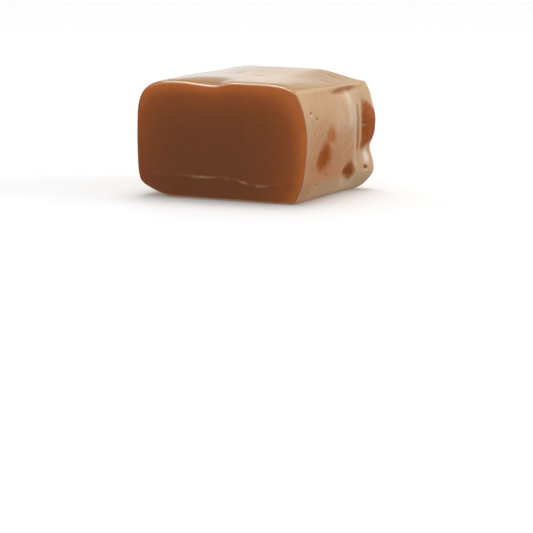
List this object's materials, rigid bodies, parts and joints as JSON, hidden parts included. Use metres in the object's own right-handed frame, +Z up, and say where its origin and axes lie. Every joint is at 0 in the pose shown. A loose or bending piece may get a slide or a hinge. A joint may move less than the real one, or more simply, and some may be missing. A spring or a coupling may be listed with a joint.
{
  "type": "caramel candy",
  "caption": "soft caramel candy: a low block with flat cut ends, a softly crowned top, and a pulled side with dents, an upright fold and lobes at its far edge",
  "frame": {"origin": "on the flat underside, below the centre of the block's bounding box", "axes": "+X is left to right along the cut front and points at the pulled side, +Y goes from the cut front to the back, +Z is up"},
  "size_m": [0.0284, 0.0226, 0.0173],
  "materials": {
    "caramel": "soft caramel, amber brown and slightly translucent, with a waxy sheen"
  },
  "bodies": {
    "root": {"caramel": "caramel"}
  },
  "joints": []
}
